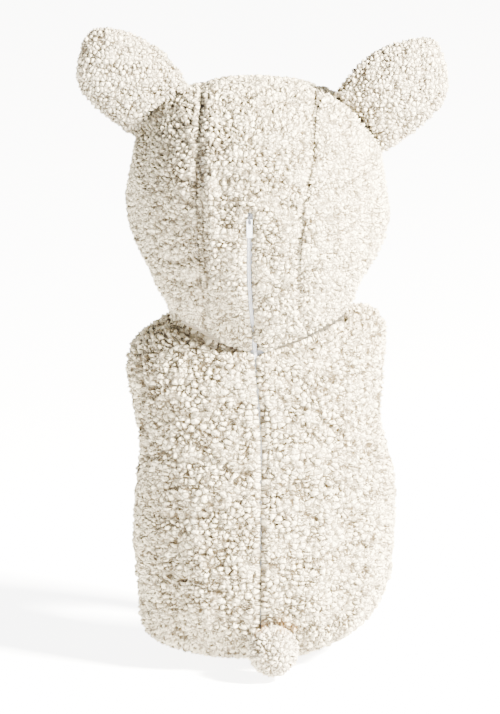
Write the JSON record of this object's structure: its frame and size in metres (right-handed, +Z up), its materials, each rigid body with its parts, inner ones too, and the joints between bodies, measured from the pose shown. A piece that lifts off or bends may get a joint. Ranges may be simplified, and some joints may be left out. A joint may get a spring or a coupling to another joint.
{
  "type": "lamb costume",
  "caption": "Toddler's lamb costume in sherpa fleece: round hood with stuffed ears, sleeveless rounded body with armholes and leg openings, centre-back zip and ball tail.",
  "frame": {"origin": "centre of the neck opening, where the garment hangs on its wearer", "axes": "+Z up, the garment's front faces -Y, the wearer's left is +X"},
  "size_m": [0.3496, 0.2253, 0.5973],
  "materials": {
    "sherpa": "cream boucle sherpa fleece, matt and nubbly",
    "tape": "white woven zip tape",
    "coil": "white nylon coil",
    "metal": "plated zinc, softly polished"
  },
  "bodies": {
    "costume": {"back_left": "sherpa", "back_right": "sherpa", "front": "sherpa", "hood_centre": "sherpa", "hood_side_left": "sherpa", "hood_side_right": "sherpa", "ear_left_back": "sherpa", "ear_left_front": "sherpa", "ear_right_back": "sherpa", "ear_right_front": "sherpa", "tail": "sherpa", "zip_tape_left": "tape", "zip_tape_right": "tape", "zip_coil": "coil", "zip_slider": "metal", "zip_top_stop_left": "metal", "zip_top_stop_right": "metal"},
    "pull_tab": {"zip_pull": "metal"}
  },
  "joints": [
    {"name": "pull_hinge", "type": "hinge", "parent": "costume", "child": "pull_tab", "pos_m": [0.01065, 0.13259, 0.10816], "axis": [0.9984, -0.0558, 0], "range_deg": [0, 135]}
  ]
}
